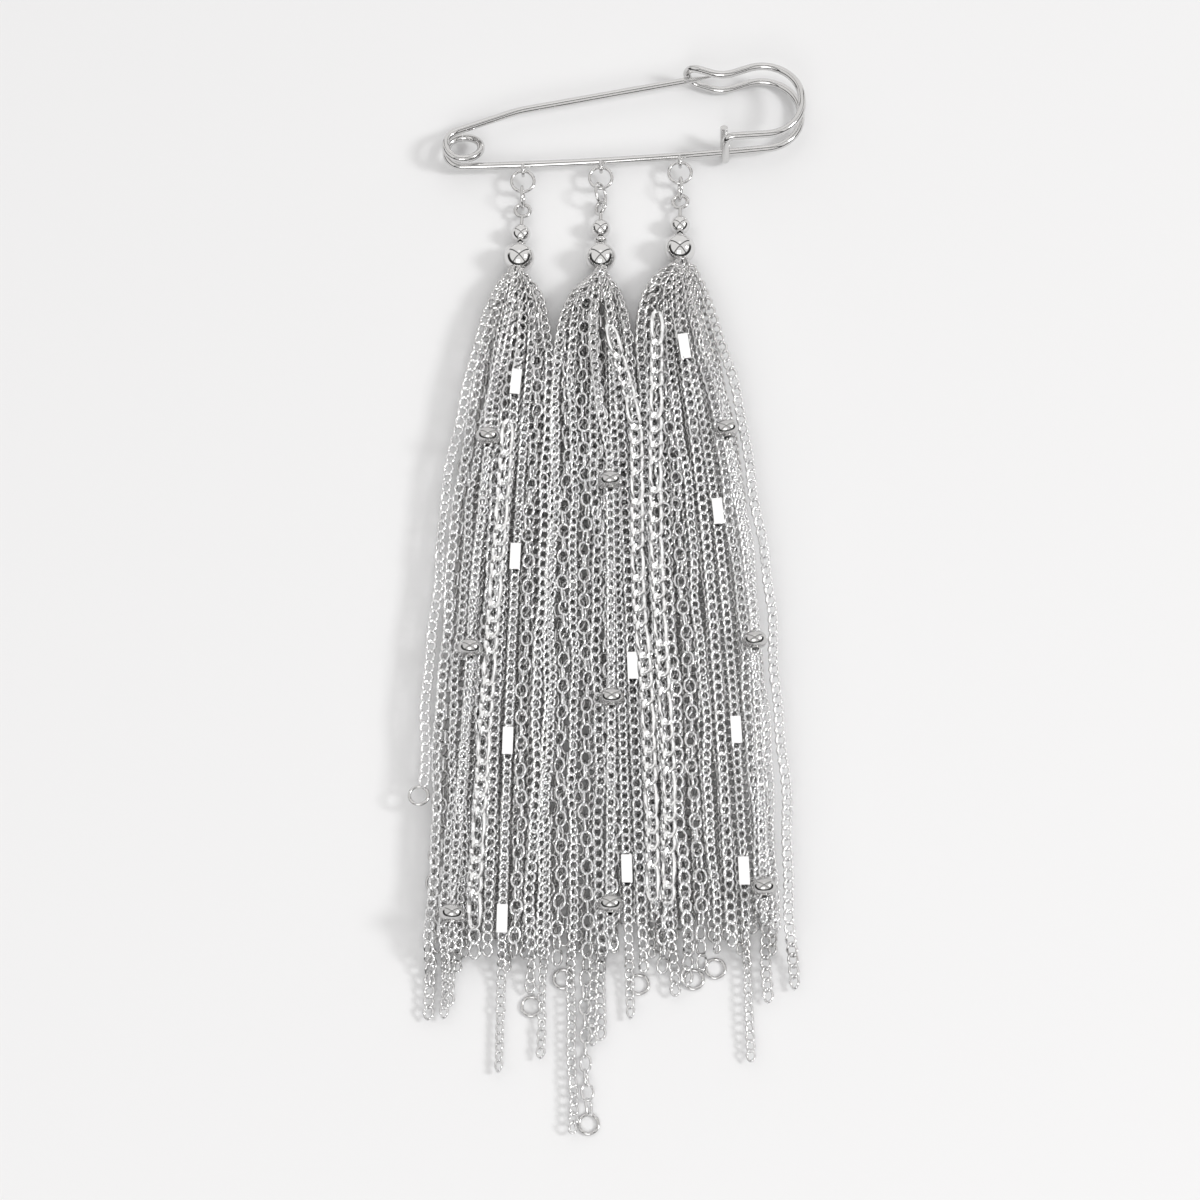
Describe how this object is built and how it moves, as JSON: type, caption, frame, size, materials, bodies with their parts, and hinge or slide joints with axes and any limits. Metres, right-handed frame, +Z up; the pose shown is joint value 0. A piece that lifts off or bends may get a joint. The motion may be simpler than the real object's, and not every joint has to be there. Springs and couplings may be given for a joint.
{
  "type": "kilt pin brooch with chain tassels",
  "caption": "Large bent-wire kilt pin with a spring coil and open needle, carrying bead drops that end in long fanned tassels of fine chains, lying flat.",
  "frame": {"origin": "centre of the part's box in plan, on the surface it lies on", "axes": "+X along the pin from its coil to its head, +Y from the tassels' feet to the pin, +Z up from the surface"},
  "size_m": [0.0748, 0.212, 0.0105],
  "materials": {
    "pin_wire": "bright silver-tone plated steel wire",
    "ring_wire": "bright silver-tone plated wire rings",
    "bead_metal": "mirror-bright silver-tone beads",
    "bar_metal": "bright silver-tone square tube beads",
    "chain_metal": "bright silver-tone fine chains"
  },
  "bodies": {
    "brooch": {"pin_frame": "pin_wire", "big_ring_left": "ring_wire", "big_ring_middle": "ring_wire", "big_ring_right": "ring_wire", "small_ring_left": "ring_wire", "small_ring_middle": "ring_wire", "small_ring_right": "ring_wire", "eye_pin_left": "ring_wire", "eye_pin_middle": "ring_wire", "eye_pin_right": "ring_wire", "small_bead_left": "bead_metal", "small_bead_middle": "bead_metal", "small_bead_right": "bead_metal", "spacer_middle": "bead_metal", "big_bead_left": "bead_metal", "big_bead_middle": "bead_metal", "big_bead_right": "bead_metal", "tassel_left": "chain_metal", "tassel_middle": "chain_metal", "tassel_right": "chain_metal", "figaro_left": "chain_metal", "figaro_middle": "chain_metal", "figaro_right": "chain_metal", "rondelle_left_1": "bead_metal", "rondelle_left_2": "bead_metal", "rondelle_left_3": "bead_metal", "rondelle_middle_1": "bead_metal", "rondelle_middle_2": "bead_metal", "rondelle_middle_3": "bead_metal", "rondelle_right_1": "bead_metal", "rondelle_right_2": "bead_metal", "rondelle_right_3": "bead_metal", "bar_1": "bar_metal", "bar_2": "bar_metal", "bar_3": "bar_metal", "bar_4": "bar_metal", "bar_5": "bar_metal", "bar_6": "bar_metal", "bar_7": "bar_metal", "bar_8": "bar_metal", "bar_9": "bar_metal", "bar_10": "bar_metal", "end_ring_1": "ring_wire", "end_ring_2": "ring_wire", "end_ring_3": "ring_wire", "end_ring_4": "ring_wire", "end_ring_5": "ring_wire", "end_ring_6": "ring_wire", "end_ring_7": "ring_wire"},
    "needle_arm": {"needle": "pin_wire"}
  },
  "joints": [
    {"name": "needle_hinge", "type": "hinge", "parent": "brooch", "child": "needle_arm", "pos_m": [-0.02951, 0.08835, 0.00344], "axis": [-0.0065, 0.0956, 0.9954], "range_deg": [-10, 0], "stiffness_Nm_per_rad": 0.05, "springref_deg": 11.46}
  ]
}
